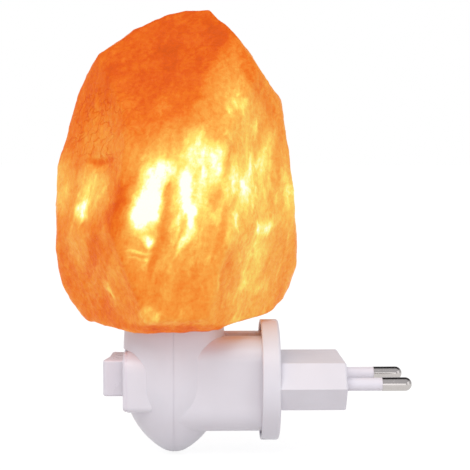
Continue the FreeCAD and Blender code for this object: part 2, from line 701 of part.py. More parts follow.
def bulb():
    cap_inner = "cap_radius - 0.3"
    turned_part("bulb_cap", LAMP_AXIS, "XZ_Plane", "V_Axis", [
        (3.2, "cap_bottom"), ("cap_radius - 0.8", "cap_bottom"), ("cap_radius", "cap_bottom + 1.2"),
        ("cap_radius", "cap_top"), (cap_inner, "cap_top"), (cap_inner, "cap_bottom + 1.3"),
        ("cap_radius - 0.9", "cap_bottom + 0.3"), (3.2, "cap_bottom + 0.3"),
    ])
    turned_part("bulb_insulator", LAMP_AXIS, "XZ_Plane", "V_Axis", [
        (1.2, "cap_bottom - 1.2"), (2.6, "cap_bottom - 1.2"), (5.6, "cap_bottom"), (3.2, "cap_bottom"),
        (3.2, "cap_bottom + 1.0"), (1.2, "cap_bottom + 1.0"),
    ])
    turned_part("bulb_contact", LAMP_AXIS, "XZ_Plane", "V_Axis", [
        (0, "cap_bottom + 0.6"), (0, "contact_bottom"), (1.8, "contact_bottom"),
        (2.4, "contact_bottom + 0.5"), (2.4, "cap_bottom - 1.2"), (1.2, "cap_bottom - 1.2"),
        (1.2, "cap_bottom + 0.6"),
    ])
    foot = "cap_bottom + 2.2"
    inner_neck, inner_bulb = "(bulb_neck - glass)", "(bulb_radius - glass)"
    turned_part("bulb_glass", LAMP_AXIS, "XZ_Plane", "V_Axis", [
        ("bulb_neck", foot), ("bulb_neck", "bulb_neck_top"),
        ("bulb_radius", "bulb_middle", 0, "bulb_middle", "bulb_radius"),
        (0, "bulb_middle + bulb_radius"),
        (0, "bulb_middle + bulb_radius - glass", 0, "bulb_middle", inner_bulb),
        (inner_bulb, "bulb_middle"), (inner_neck, "bulb_neck_top"), (inner_neck, foot),
    ])
    turned_part("bulb_stem", LAMP_AXIS, "XZ_Plane", "V_Axis", [
        (0, foot), (inner_neck, foot), (inner_neck, f"{foot} + 0.8"), (2.0, f"{foot} + 6"), (1.6, "stem_top"),
        (0, "stem_top"),
    ])


def round_wire(points, radius, bend):
    """A solid wire along straight runs joined by tangent arcs of one bend radius."""
    corners = [Vector(*point) for point in points]
    edges, last = [], corners[0]
    for before, corner, after in zip(corners, corners[1:], corners[2:]):
        into, out = (before - corner).normalize(), (after - corner).normalize()
        half_turn = (math.pi - into.getAngle(out)) / 2
        trim = bend * math.tan(half_turn)
        start, end = corner + into * trim, corner + out * trim
        middle_way = (into + out).normalize()
        centre = corner + middle_way * (bend / math.cos(half_turn))
        edges.append(Part.LineSegment(last, start).toShape())
        edges.append(Part.Arc(start, centre - middle_way * bend, end).toShape())
        last = end
    edges.append(Part.LineSegment(last, corners[-1]).toShape())
    section = Part.Wire(Part.Circle(corners[0], corners[1] - corners[0], radius).toShape())
    return Part.Wire(edges).makePipeShell([section], True, True)


def filament():
    """Coiled filament drawn as the zigzag that carries it, between its two support wires."""
    half, low, high = 4.2, value("stem_top"), 51
    points = [(-1.2, 0, low), (-half, 0, high), (-half / 3, 0, high + 3), (half / 3, 0, high),
              (half, 0, high + 3), (1.2, 0, low)]
    solid_feature("bulb_filament", round_wire(points, 0.2, 0.5), LAMP_AXIS)


# ---- clips and wiring ------------------------------------------------------------------------------------


def spring_clip(label, side):
    """Hairpin of spring wire, its leg trapped between the shells, that grips the crystal's bore."""
    leg, spread = value("clip_leg"), value("clip_spread")
    low, high = value("seat_height") + 1.6, value("collar_top") + 4
    path = [(leg, low), (leg, high), (spread, high), (spread, low + 7), (spread - 0.8, low + 3)]
    points = [(0, side * out, up) for out, up in path]
    solid_feature(label, round_wire(points, value("clip_wire"), value("clip_bend")), LAMP_AXIS)


def lead(label, points, bend):
    solid_feature(label, round_wire(points, value("lead_radius"), bend))


def wiring():
    """The leads from the pins to the lamp, in two lengths each, and the lead from the switch."""
    tail, spread = -value("pin_tail"), value("pin_spacing") / 2
    meet = -value("hub_end") - 4
    near = 1.9
    for name, side in (("live", -1), ("neutral", 1)):
        lead(f"{name}_lead_in_plug", [(tail, side * spread, 0), (tail - 3.4, side * spread, 0),
                                      (tail - 9, side * near, 0), (meet, side * near, 0)], 1.8)
    axis = -value("axis_offset")
    tails = axis + value("terminal_plane")
    middle = value("rocker_middle")
    lead("live_lead", [(meet, -near, 0), (meet - 5, -near, 0), (-40, -6, -5), (-44.5, -3, -4.5),
                       (-46, 0, middle), (tails, 0, middle)], 1.8)
    strip = axis + value("thread_inner") - value("strip_inset") + value("strip_thickness") / 2
    foot = value("holder_bottom") - 3
    lead("neutral_lead", [(meet, near, 0), (meet - 5, near, 0), (-39.5, 3.5, 0.4), (strip, 0, foot - 2.4),
                          (strip, 0, foot)], 1.0)
    rivet_end = value("holder_bottom") - value("rivet_tail")
    off = -value("terminal_spacing")
    lead("switch_lead", [(tails, off, middle), (-46.2, off, middle), (-46.2, -4.2, rivet_end - 1.8),
                         (axis, 0, rivet_end - 1.8), (axis, 0, rivet_end)], 1.0)


def terminal(label, side, inner):
    """Flat terminal through the frame's floor, from the lead's end in to a formula's place."""
    body = new_body(label, LAMP_AXIS)
    middle = f"{side} * terminal_spacing"
    strip = new_sketch(body, f"{label}_section", "YZ_Plane", "terminal_plane")
    rectangle(strip, f"{middle} - terminal_width / 2", f"{middle} + terminal_width / 2",
              "rocker_middle - terminal_thickness / 2", "rocker_middle + terminal_thickness / 2")
    pad(body, f"{label}_strip", strip, f"terminal_plane - ({inner})", backwards=True)
    return body


def switch_terminals():
    """The common terminal ends in the round edge that the blade rocks on, the switched one in its contact."""
    common = terminal("common_terminal", 0, "blade_plane")
    edge = new_sketch(common, "round_edge_section", "XY_Plane", "rocker_middle - terminal_thickness / 2")
    circle(edge, "blade_plane", 0, "terminal_width / 2")
    pad(common, "round_edge", edge, "terminal_thickness")
    terminal("switched_terminal", -1, "contact_plane")


def contact_blade():
    """See-saw blade in its own frame, the edge it rocks on upright at the origin, tipped as when on."""
    body = new_body("contact_blade", BLADE_AXIS)
    body.Placement.Rotation = Rotation(Vector(0, 0, 1), value("blade_tilt"))
    inner = "(terminal_width / 2 + slot_play)"
    outer = f"({inner} + blade_thickness)"
    back, front = "0.3", "0.3 - blade_thickness"
    reach = f"sqrt({outer}^2 - ({front})^2)"
    grip = f"sqrt({inner}^2 - {back}^2)"
    profile = new_sketch(body, "blade_profile", "XY_Plane", "-terminal_width / 2")
    outline(profile, [
        (front, f"-{reach}", 0, 0, outer), (f"-{outer}", 0, 0, 0, outer), (front, reach),
        (front, 4.5), (back, 4.5), (back, grip, 0, 0, inner), (f"-{inner}", 0, 0, 0, inner),
        (back, f"-{grip}"),
        (back, "-terminal_spacing - 1.3"), (front, "-terminal_spacing - 1.3"),
    ])
    pad(body, "blade", profile, "terminal_width")
    button = new_sketch(body, "button_section", "YZ_Plane", back)
    circle(button, "-terminal_spacing", 0, "1.1")
    pad(body, "button", button, "button_height")


# ---- crystal ---------------------------------------------------------------------------------------------

# Each cleavage face: compass direction of its outward normal (0 is +X, 90 is +Y, away from the viewer), slope
# of the normal above the horizontal, and distance from the crystal's middle.
CRYSTAL_MIDDLE = (-49.2, 0, 60)
CLEAVAGE_FACES = {
    "right_flank": (-4, 1.8, 34.5),
    "right_shoulder": (-4, 8.5, 33.7),
    "right_crown": (-5, 34.7, 37.9),
    "crown_right": (-5, 39.7, 39.3),
    "crown_tip": (-56, 82.9, 49.1),
    "crown": (-166, 66.4, 43.7),
    "crown_left": (-171, 53.9, 41.3),
    "left_shoulder": (-174, 26.4, 35.2),
    "left_slope": (-175, 17, 33.1),
    "left_flank": (-174, 1.5, 34.0),
    "left_foot": (-173, -12.9, 38.6),
    "left_heel": (-169, -39.2, 46.3),
    "left_under": (-165, -85, 44.5),
    "right_foot": (-6, -23.9, 43.2),
    "right_toe": (-10, -44.6, 47.4),
    "right_heel": (-18, -73, 45.6),
    "front_lower": (-93, -4, 30.2),
    "front": (-88, 5, 28.4),
    "front_foot": (-91, -61, 47.4),
    "front_left": (-145, 10, 27.5),
    "front_left_foot": (-142, -19, 34.0),
    "front_right": (-38, 6, 28.5),
    "front_right_foot": (-37, -13.8, 32.6),
    "upper_left_face": (-97, 40, 31.0),
    "upper_right_face": (-67, 28, 31.2),
    "upper_left_edge": (-128, 30, 33.5),
    "back": (88, 3, 27.6),
    "back_lower": (97, -6, 28.6),
    "back_left": (141, 9, 32.2),
    "back_right": (38, 6, 32.8),
    "back_upper": (92, 37, 33.2),
    "back_upper_left": (126, 40, 35.6),
    "back_upper_right": (57, 33, 34.0),
    "back_lower_left": (143, -26, 39.0),
    "back_lower_right": (50, -24, 38.0),
    "back_foot": (92, -58, 47.0),
}


def salt_crystal():
    """A rough block split along its cleavage faces, sawn flat below and bored for the bulb."""
    body = new_body("salt_crystal")
    size = 200
    middle = Vector(*CRYSTAL_MIDDLE)
    rough = new_sketch(body, "rough_block_section", "XY_Plane", "crystal_base")
    rectangle(rough, f"{middle.x} - 45", f"{middle.x} + 45", "-40", "40")
    pad(body, "rough_block", rough, "120")
    for name, (compass, slope, distance) in CLEAVAGE_FACES.items():
        turn = Rotation(Vector(0, 0, 1), compass) * Rotation(Vector(0, 1, 0), 90 - slope)
        cut = new_sketch(body, f"{name}_section", "XY_Plane")
        cut.setExpression("AttachmentOffset.Base.z", None)
        normal = turn.multVec(Vector(0, 0, 1))
        cut.AttachmentOffset = Placement(middle + normal * distance, turn)
        rectangle(cut, -size, size, -size, size)
        pocket(body, name, cut, str(size), backwards=True)
    bore = new_sketch(body, "bulb_bore_section", "XZ_Plane")
    axis = "-axis_offset"
    # the drill leaves a blunt cone at the top of the bore
    outline(bore, [
        (axis, "crystal_base - 1"), (f"{axis} + crystal_bore", "crystal_base - 1"),
        (f"{axis} + crystal_bore", "crystal_bore_top"), (f"{axis} + 3", "crystal_bore_top + 4"),
        (axis, "crystal_bore_top + 4"),
    ])
    line = bore.addGeometry(Part.LineSegment(Vector(value(axis), 0, 0), Vector(value(axis), 10, 0)), True)
    hold_point(bore, line, 1, axis, 0)
    hold_point(bore, line, 2, axis, 10)
    feature(body, "Groove", "bulb_bore", True, Profile=bore, ReferenceAxis=(bore, ["Axis0"]), Angle=360)


# ---- build -----------------------------------------------------------------------------------------------

plug_housing()
for pin_name, pin_side in (("live_pin", -1), ("neutral_pin", 1)):
    pin(pin_name, pin_side)
    pin_sleeve(f"{pin_name}_sleeve", pin_side)
switch_side_shell()
plug_side_shell()
switch_frame()
rocker()
switch_plunger()
contact_blade()
switch_terminals()
lampholder_body()
threaded_shell()
centre_contact()
side_contact()
bulb()
filament()
spring_clip("front_clip", -1)
spring_clip("back_clip", 1)
wiring()
salt_crystal()

doc.recompute()
faults = [o.Name for o in doc.Objects if {"Invalid", "Error"} & set(o.State)]
for part in parts:
    if part.Shape.isNull() or not part.Shape.isValid() or part.Shape.Volume <= 0:
        faults.append(part.Label)
if faults:
    raise RuntimeError(f"failed objects: {faults}")

os.makedirs("parts", exist_ok=True)
for part in parts:
    part.Shape.exportStep(f"parts/{part.Label}.step")
    print(f"{part.Label}: {part.Shape.Volume / 1000:.3f} cm3, {len(part.Shape.Solids)} solids")
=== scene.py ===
"""Plug-in night light: a rough salt crystal, lit from inside, on a white lampholder.

The lampholder carries a rocker switch and swivels on its own plug.
"""

import math

import bpy
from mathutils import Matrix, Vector


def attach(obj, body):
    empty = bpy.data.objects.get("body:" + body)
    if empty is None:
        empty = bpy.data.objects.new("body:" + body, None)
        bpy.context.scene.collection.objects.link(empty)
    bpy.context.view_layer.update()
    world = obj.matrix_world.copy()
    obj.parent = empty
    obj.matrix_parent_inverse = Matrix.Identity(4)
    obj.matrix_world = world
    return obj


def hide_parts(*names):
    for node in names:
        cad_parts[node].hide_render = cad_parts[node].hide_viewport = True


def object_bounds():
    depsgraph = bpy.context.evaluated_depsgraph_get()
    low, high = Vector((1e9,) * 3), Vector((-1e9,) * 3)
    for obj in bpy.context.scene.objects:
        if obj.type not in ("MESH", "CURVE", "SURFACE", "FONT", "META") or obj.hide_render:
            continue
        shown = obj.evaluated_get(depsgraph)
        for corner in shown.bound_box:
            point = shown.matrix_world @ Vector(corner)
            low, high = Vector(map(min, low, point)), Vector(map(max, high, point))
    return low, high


bl_info = {
    "name": "Salt crystal night light",
    "version": (1, 0, 0),
    "blender": (4, 5, 0),
    "location": "3D View > Sidebar > Night light",
    "description": "Finishes each piece of a plug-in salt crystal night light and sets its stage",
    "category": "Object",
}

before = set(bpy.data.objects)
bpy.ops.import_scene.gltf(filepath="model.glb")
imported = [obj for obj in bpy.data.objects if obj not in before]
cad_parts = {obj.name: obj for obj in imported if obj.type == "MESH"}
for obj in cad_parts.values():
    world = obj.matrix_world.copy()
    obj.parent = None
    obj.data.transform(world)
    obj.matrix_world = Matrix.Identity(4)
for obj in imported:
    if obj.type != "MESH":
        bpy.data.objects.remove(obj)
CAD_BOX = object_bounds()
MM = 0.001
WHITE = (1.0, 1.0, 1.0, 1.0)
# most of a noise lies between these
NOISE_LOW, NOISE_HIGH = 0.3, 0.7


# ---- small tools ---------------------------------------------------------------------------------


def linear(code):
    """A colour written as sRGB hex, as the three linear numbers that a shader takes."""
    parts = [int(code[i:i + 2], 16) / 255 for i in (1, 3, 5)]
    return [c / 12.92 if c <= 0.04045 else ((c + 0.055) / 1.055) ** 2.4 for c in parts]


def rgba(code):
    """The same with an alpha, for sockets that take four numbers."""
    return (*linear(code), 1.0)


def add(tree, kind, inputs=None, **settings):
    """Adds a node with its settings, and gives its inputs numbers or the sockets they are linked from."""
    node = tree.nodes.new(f"ShaderNode{kind}")
    for name, setting in settings.items():
        setattr(node, name, setting)
    for name, given in (inputs or {}).items():
        feed(tree, node.inputs[name], given)
    return node


def feed(tree, socket, given):
    """Links the socket from another one, or sets its number or colour."""
    if isinstance(given, bpy.types.NodeSocket):
        tree.links.new(given, socket)
    else:
        socket.default_value = given


def new_material(name):
    """A material with one Principled shader, and the place on the object in millimetres."""
    material = bpy.data.materials.new(name)
    material.use_nodes = True
    tree = material.node_tree
    tree.nodes.clear()
    shader = add(tree, "BsdfPrincipled")
    add(tree, "OutputMaterial", {"Surface": shader.outputs["BSDF"]})
    on_object = add(tree, "TexCoord").outputs["Object"]
    in_mm = add(tree, "VectorMath", {0: on_object, "Scale": 1 / MM}, operation="SCALE")
    return material, tree, shader, in_mm.outputs["Vector"]


def finish(tree, shader, **sockets):
    """Sets or links the shader's sockets, whose names are given with underscores."""
    for name, given in sockets.items():
        feed(tree, shader.inputs[name.replace("_", " ")], given)


def grain(tree, place, size, detail=3.0, roughness=0.5, stretch=(1, 1, 1), lean=0.0):
    """Noise with features of about the given size in millimetres.

    The stretch draws it out along X, Y and Z, and the lean tips it to the right in the XZ plane.
    """
    laid = add(tree, "Mapping", {"Vector": place, "Rotation": (0, math.radians(lean), 0), "Scale": stretch},
               vector_type="TEXTURE")
    noise = add(tree, "TexNoise", {"Vector": laid.outputs["Vector"], "Scale": 1 / size, "Detail": detail,
                                   "Roughness": roughness})
    return noise.outputs["Fac"]


def away_from(tree, place, middle, half, lean=0.0, label=""):
    """Distance from the middle of an ellipsoid, 1 at its half sizes. The lean tips it to the right."""
    laid = add(tree, "Mapping", {"Vector": place, "Location": middle, "Rotation": (0, math.radians(lean), 0),
                                 "Scale": half}, vector_type="TEXTURE", label=label)
    return add(tree, "VectorMath", {0: laid.outputs["Vector"]}, operation="LENGTH").outputs["Value"]


def spread(tree, value, low, high, to_low, to_high, smooth=False):
    """The value moved from one range to another, and kept within it."""
    kind = "SMOOTHSTEP" if smooth else "LINEAR"
    moved = add(tree, "MapRange", {"Value": value, "From Min": low, "From Max": high, "To Min": to_low,
                                   "To Max": to_high}, interpolation_type=kind)
    return moved.outputs["Result"]


def vary(tree, noise, low, high):
    """A noise spread over a range."""
    return spread(tree, noise, NOISE_LOW, NOISE_HIGH, low, high)


def maths(tree, first, second=0.0, operation="ADD"):
    return add(tree, "Math", {0: first, 1: second}, operation=operation).outputs["Value"]


def shaded(tree, colour, share):
    """The colour made darker or lighter."""
    return add(tree, "VectorMath", {0: colour, "Scale": share}, operation="SCALE").outputs["Vector"]


def ramp(tree, value, stops):
    """Colours along a value, from (place, sRGB hex) stops."""
    node = add(tree, "ValToRGB", {"Fac": value})
    points = node.color_ramp.elements
    while len(points) < len(stops):
        points.new(1.0)
    # places first, because the points are put in order as they move
    for point, (place, _) in zip(points, stops):
        point.position = place
    for point, (_, code) in zip(points, stops):
        point.color = rgba(code)
    return node.outputs["Color"]


def mottle(tree, noise, dark, light):
    """Two colours mixed by a noise."""
    return ramp(tree, noise, ((NOISE_LOW, dark), (NOISE_HIGH, light)))


def relief(tree, height, depth):
    """Bump from a height of 0 to 1, whose depth is in millimetres."""
    bump = add(tree, "Bump", {"Height": height, "Distance": depth * MM, "Strength": 1.0})
    return bump.outputs["Normal"]


def select_only(piece):
    bpy.ops.object.select_all(action="DESELECT")
    piece.select_set(True)
    bpy.context.view_layer.objects.active = piece


def dress(material, *nodes):
    """Gives CAD nodes a material."""
    for name in nodes:
        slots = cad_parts[name].data.materials
        slots.clear()
        slots.append(material)


def finish_with(piece, kind, name, **settings):
    """Adds a modifier to the piece and applies it."""
    modifier = piece.modifiers.new(name, kind)
    for key, setting in settings.items():
        setattr(modifier, key, setting)
    bpy.ops.object.modifier_apply(modifier=name)


# ---- what a user would change --------------------------------------------------------------------


class CrystalSettings(bpy.types.PropertyGroup):
    """Form and light of the salt crystal"""

    voxel: bpy.props.FloatProperty(name="Voxel", description="Size of the cells its surface is built of",
                                   default=0.75 * MM, min=0.4 * MM, subtype="DISTANCE", unit="LENGTH")
    roundness: bpy.props.IntProperty(name="Worn edges", description="Smoothing passes over the split edges",
                                     default=5, min=0)
    swell: bpy.props.FloatProperty(name="Swell", description="Height of the broad waves on the split faces",
                                   default=1.5 * MM, subtype="DISTANCE", unit="LENGTH")
    grit: bpy.props.FloatProperty(name="Grit", description="Height of the fine crumbly relief",
                                  default=0.34 * MM, subtype="DISTANCE", unit="LENGTH")
    glow: bpy.props.FloatProperty(name="Glow", description="Share of the colour that the bulb inside gives",
                                  default=0.63, min=0.0, max=2.0)


class FinishSettings(bpy.types.PropertyGroup):
    """Colours of the other finishes"""

    housing: bpy.props.FloatVectorProperty(name="Housing", description="Colour of the shells and the plug",
                                           default=linear("#E4E0E7"), subtype="COLOR", size=3)
    switch: bpy.props.FloatVectorProperty(name="Switch", description="Colour of the switch",
                                          default=linear("#E3DDE5"), subtype="COLOR", size=3)
    sleeve: bpy.props.FloatVectorProperty(name="Sleeves", description="Colour of the pins' insulation",
                                          default=linear("#E9E4EC"), subtype="COLOR", size=3)
    nickel: bpy.props.FloatVectorProperty(name="Nickel", description="Colour of the plated pins",
                                          default=linear("#C2BDBA"), subtype="COLOR", size=3)


class StageSettings(bpy.types.PropertyGroup):
    """Camera and light"""

    camera_place: bpy.props.FloatVectorProperty(
        name="Camera", description="Where the camera stands", default=(-0.0436, -0.390, 0.0686),
        subtype="TRANSLATION", size=3)
    camera_aim: bpy.props.FloatVectorProperty(
        name="Aim", description="Where the camera looks", default=(-0.0316, 0.0, 0.0428),
        subtype="TRANSLATION", size=3)
    lens: bpy.props.FloatProperty(name="Lens", description="Focal length for a 36 mm sensor", default=101.9)
    sky: bpy.props.FloatProperty(name="Sky", description="Light from all round", default=0.67)
    key: bpy.props.FloatProperty(name="Key", description="Light from the large lamp above", default=0.40)
    fill: bpy.props.FloatProperty(name="Fill", description="Light from the lamp on the right", default=0.11)
    front: bpy.props.FloatProperty(name="Front", description="Light from the lamp in front", default=0.13)


SETTINGS = (CrystalSettings, FinishSettings, StageSettings)


# ---- materials -----------------------------------------------------------------------------------


def moulded_abs(name, colour, roughness):
    """Injection-moulded white ABS from a spark-eroded mould: a soft satin skin with faint flow clouds."""
    material, tree, shader, place = new_material(name)
    clouds = vary(tree, grain(tree, place, size=14.0, detail=2.0), 0.955, 1.0)
    # a spark-eroded skin is really finer than this, and is drawn as coarse as it needs to show
    skin = grain(tree, place, size=0.7, detail=2.0)
    gloss = vary(tree, grain(tree, place, size=5.0), roughness - 0.04, roughness + 0.05)
    finish(tree, shader, Base_Color=shaded(tree, colour, clouds), Roughness=gloss, IOR=1.53,
           Normal=relief(tree, skin, depth=0.008))
    return material


def plated_pin(colour):
    """Turned brass with bright nickel plating: fine lathe rings and a little haze."""
    material, tree, shader, place = new_material("nickel_plated_brass")
    # the rings run round the pin, coarser than a lathe leaves them so that they show
    rings = grain(tree, place, size=0.8, detail=1.0, stretch=(0.3, 4.0, 4.0))
    haze = vary(tree, grain(tree, place, size=2.5), 0.97, 1.03)
    finish(tree, shader, Base_Color=shaded(tree, colour, haze), Metallic=1.0,
           Roughness=vary(tree, rings, 0.13, 0.18), Normal=relief(tree, rings, depth=0.002))
    return material


# Patches of the split faces that let more or less of the bulb's light through. Each has its place across, in
# depth and up, its half width and half height, its lean to the right in degrees, and its change of level.
# Places and sizes are in millimetres.
BRIGHT_PATCHES = (
    ("lit heart", -45.0, -28, 56.0, 15.0, 18.0, 12, 0.17),
    ("lit right side", -25.0, -18, 52.0, 9.0, 24.0, 4, 0.10),
    ("lit foot", -46.0, -27, 29.0, 17.0, 9.0, 0, 0.05),
    ("lit left flank", -76.0, -10, 45.0, 5.0, 20.0, 0, 0.06),
    ("back lit heart", -50.0, 27, 55.0, 17.0, 19.0, -8, 0.17),
    ("main glow", -56.4, -29, 52.6, 4.8, 6.6, 15, 0.34),
    ("main glow core", -56.4, -29, 51.4, 3.6, 4.8, 12, 0.24),
    ("main glow neck", -53.4, -28, 61.0, 2.8, 4.8, 32, 0.26),
    ("glow above it", -52.0, -28, 64.0, 4.6, 3.0, 55, 0.14),
    ("second glow", -42.8, -28, 59.5, 6.0, 13.5, 9, 0.22),
    ("second glow top", -41.9, -27, 68.2, 4.0, 5.0, 15, 0.12),
    ("second core", -46.2, -29, 58.0, 1.7, 3.8, 0, 0.26),
    ("second core foot", -44.6, -29, 49.8, 1.2, 4.8, -8, 0.25),
    ("second tail", -46.4, -29, 43.5, 1.1, 4.2, 22, 0.28),
    ("small core", -37.0, -28, 65.0, 1.8, 4.8, 8, 0.20),
    ("upper left flank", -69.0, -16, 69.0, 9.0, 8.0, 10, 0.07),
    ("left patch", -71.5, -17, 57.0, 5.0, 6.0, 12, 0.28),
    ("low glow", -57.5, -28, 41.5, 6.0, 5.5, 0, 0.10),
    ("right soft glow", -28.0, -21, 58.0, 6.0, 9.0, 10, 0.10),
    ("left patch point", -74.4, -15, 50.8, 2.0, 3.0, 20, 0.32),
    ("low spot", -56.0, -29, 43.2, 1.5, 1.6, 0, 0.34),
    ("right stripe", -33.5, -26, 58.5, 1.8, 5.4, 14, 0.14),
    ("right stripe two", -29.8, -23, 57.0, 1.8, 5.0, 14, 0.14),
    ("right low stripe", -33.2, -28, 45.6, 1.6, 5.6, 8, 0.14),
    ("right low spot", -24.0, -16, 45.6, 2.6, 2.6, 20, 0.14),
    ("right high patch", -23.0, -11, 67.0, 2.6, 6.0, 12, 0.16),
    ("high fleck", -34.0, -21, 78.6, 1.2, 1.5, 10, 0.10),
    ("high fleck two", -31.6, -19, 80.6, 1.2, 1.6, 10, 0.10),
    ("left vein", -68.5, -23, 45.0, 1.2, 4.0, 5, 0.14),
    ("foot patch", -55.4, -27, 22.3, 2.6, 2.6, 20, 0.20),
    ("right face", -30.5, -22, 78.0, 7.5, 13.0, -22, 0.16),
    ("right foot face", -25.5, -18, 31.0, 9.0, 12.0, 8, 0.07),
    ("ripple", -58.9, -28, 39.6, 3.0, 0.5, 2, 0.16),
    ("ripple two", -58.4, -28, 37.8, 2.6, 0.5, -3, 0.14),
    ("left ripple", -67.6, -16, 29.2, 2.2, 0.6, 60, 0.14),
    ("left ripple two", -66.0, -17, 26.6, 2.2, 0.6, 60, 0.12),
    ("back glow", -50.0, 28, 57.0, 6.0, 10.5, -12, 0.48),
    ("back glow core", -50.6, 28, 55.0, 3.0, 6.4, -14, 0.40),
    ("back second glow", -60.5, 26, 50.0, 3.4, 8.0, -20, 0.34),
    ("back high patch", -41.0, 26, 69.0, 4.2, 5.0, -10, 0.26),
    ("back low patch", -38.0, 24, 40.0, 3.6, 6.0, -16, 0.20),
    ("left side glow", -82.0, 3, 56.0, 6.0, 9.0, 8, 0.22),
    ("right side glow", -16.0, 4, 55.0, 6.0, 10.0, -8, 0.24),
)
DARK_PATCHES = (
    ("upper face", -56.0, -14, 91.0, 15.0, 14.0, 0, -0.13),
    ("tip", -44.0, -4, 102.0, 16.0, 9.0, 0, -0.15),
    ("under the upper face", -52.0, -24, 75.0, 9.0, 7.0, 0, -0.05),
    ("upper face edge", -42.5, -18, 86.0, 4.5, 10.0, 24, -0.08),
    ("tip edge", -38.5, -5, 101.0, 5.0, 3.2, 40, -0.07),
    ("right edge band", -25.5, -10, 87.0, 2.4, 8.0, -26, -0.13),
    ("deep vein", -63.6, -27, 53.5, 2.8, 9.0, 20, -0.14),
    ("deep vein foot", -70.6, -17, 42.0, 2.2, 8.5, 22, -0.12),
    ("low left vein", -68.8, -16, 33.0, 1.6, 6.0, 12, -0.08),
    ("between the glows", -51.3, -29, 51.0, 1.4, 9.0, 6, -0.20),
    ("crack foot", -54.3, -28, 39.0, 1.2, 6.5, 10, -0.16),
    ("dark spot", -51.6, -28, 32.3, 1.5, 2.4, 30, -0.08),
    ("right of the glow", -38.2, -28, 55.6, 1.7, 3.6, 8, -0.16),
    ("chip hollow", -70.3, -18, 64.6, 4.4, 1.3, -8, -0.17),
    ("crumbled face", -70.0, -15, 77.5, 8.5, 7.5, 25, -0.03),
    ("right foot vein", -35.0, -25, 32.0, 1.7, 9.5, 12, -0.13),
    ("lip", -47.5, -24, 17.6, 16.0, 1.7, 0, -0.20),
    ("left foot", -73.0, -8, 27.0, 5.0, 8.0, -20, -0.05),
    ("back upper face", -54.0, 16, 92.0, 18.0, 14.0, 0, -0.17),
    ("back vein", -45.5, 28, 48.0, 1.8, 12.0, -14, -0.20),
    ("back left vein", -67.0, 20, 46.0, 2.2, 10.0, -18, -0.14),
    ("back foot", -50.0, 20, 22.0, 20.0, 5.0, 0, -0.12),
)
# the salt's colours by level: 0 where it is deepest, 1 where the bulb shines through nearly white
SALT_COLOURS = (
    (0.00, "#AC3E10"), (0.14, "#D8560E"), (0.27, "#E95C06"), (0.40, "#F37616"), (0.52, "#F79434"),
    (0.63, "#FAAF4B"), (0.73, "#FBCA5E"), (0.82, "#FCE46E"), (0.91, "#FBF6A0"), (1.00, "#FFFFEE"),
)
BASE_LEVEL = 0.515
# share of the colour that the salt has by the room's light, beside the bulb's
BODY_SHARE = 0.36
# a patch is full within its core and gone at its rim, in half sizes
PATCH_CORE, PATCH_RIM = 0.3, 1.6
PATCH_DEPTH = 13.0
VEIN_LEAN = 16.0
# size of the drift that the veins and patches are moved by, and how far it moves them
DRIFT_SIZE, DRIFT = 8.0, 5.5
CRUMBLED_FACE, CRUMBLED_HALF = (-70.0, -15.0, 74.0), (13.0, 22.0, 12.0)
# painted shade in the creases: their change of level
CREASE_PAINTED_SHADE = -0.10
# how much veins, clouds, threads and crumbs change the level, up or down; the crumbs' change is random tone
# and painted shade in their hollows
VEINS, CLOUDS, THREADS, CRUMB_TONE_AND_SHADE = 0.07, 0.04, 0.045, 0.055
# direction in which the faces nearest to the bulb look, and the painted shade and painted light: change of
# level of faces that look away from it or towards it
PAINTED_LIT_SIDE = (0.6, 0.0, -0.6)
PAINTED_SHADE_TURNED_FROM, PAINTED_LIGHT_TURNED_TO = -0.10, 0.06
# share of the glow that comes through where the level is low and high
DIM_GLOW, BRIGHT_GLOW = 0.95, 1.15
# the sawn foot's normals point down: by their Z the foot's level and glow fade in
FOOT_FULL, FOOT_NONE = -0.995, -0.93
FOOT_CHANGE, FOOT_GLOW = -0.16, 0.75


def drifted(tree, place):
    """The place moved about by a soft noise, so that veins and patches wander."""
    drift = add(tree, "TexNoise", {"Vector": place, "Scale": 1 / DRIFT_SIZE, "Detail": 2.5,
                                   "Roughness": 0.5})
    shift = add(tree, "VectorMath", {0: drift.outputs["Color"], 1: (0.5, 0.5, 0.5)}, operation="SUBTRACT")
    moved = add(tree, "VectorMath", {0: shift.outputs["Vector"], 1: (DRIFT, DRIFT, DRIFT), 2: place},
                operation="MULTIPLY_ADD")
    return moved.outputs["Vector"]


def veined(tree, place, wander):
    """The salt's level from veins, clouds, threads and patches."""
    veins = grain(tree, wander, size=5.5, detail=4.0, roughness=0.6, stretch=(1.0, 1.6, 4.2),
                  lean=VEIN_LEAN)
    level = maths(tree, spread(tree, veins, 0.28, 0.72, -VEINS, VEINS), BASE_LEVEL)
    clouds = grain(tree, place, size=16.0, detail=2.0)
    level = maths(tree, level, vary(tree, clouds, -CLOUDS, CLOUDS))
    threads = grain(tree, wander, size=1.5, roughness=0.65, stretch=(1.0, 1.3, 5.0), lean=VEIN_LEAN)
    level = maths(tree, level, vary(tree, threads, -THREADS, THREADS))
    for name, across, depth, up, half_width, half_height, lean, change in (*BRIGHT_PATCHES, *DARK_PATCHES):
        half = (half_width, PATCH_DEPTH, half_height)
        away = away_from(tree, wander, (across, depth, up), half, lean, name)
        level = maths(tree, level, spread(tree, away, PATCH_RIM, PATCH_CORE, 0.0, change, smooth=True))
    return level


def creased(tree, place, wander):
    """1 along the creases, which are deep on the crumbled face and faint elsewhere."""
    away = away_from(tree, place, CRUMBLED_FACE, CRUMBLED_HALF)
    crumbled = spread(tree, away, 1.15, 0.6, 0.25, 1.0, smooth=True)
    folds = grain(tree, wander, size=4.6, detail=2.0, roughness=0.5, stretch=(2.0, 1.2, 0.9), lean=-22)
    off_crease = maths(tree, maths(tree, folds, -0.5), operation="ABSOLUTE")
    return maths(tree, spread(tree, off_crease, 0.0, 0.03, 1.0, 0.0, smooth=True), crumbled, "MULTIPLY")


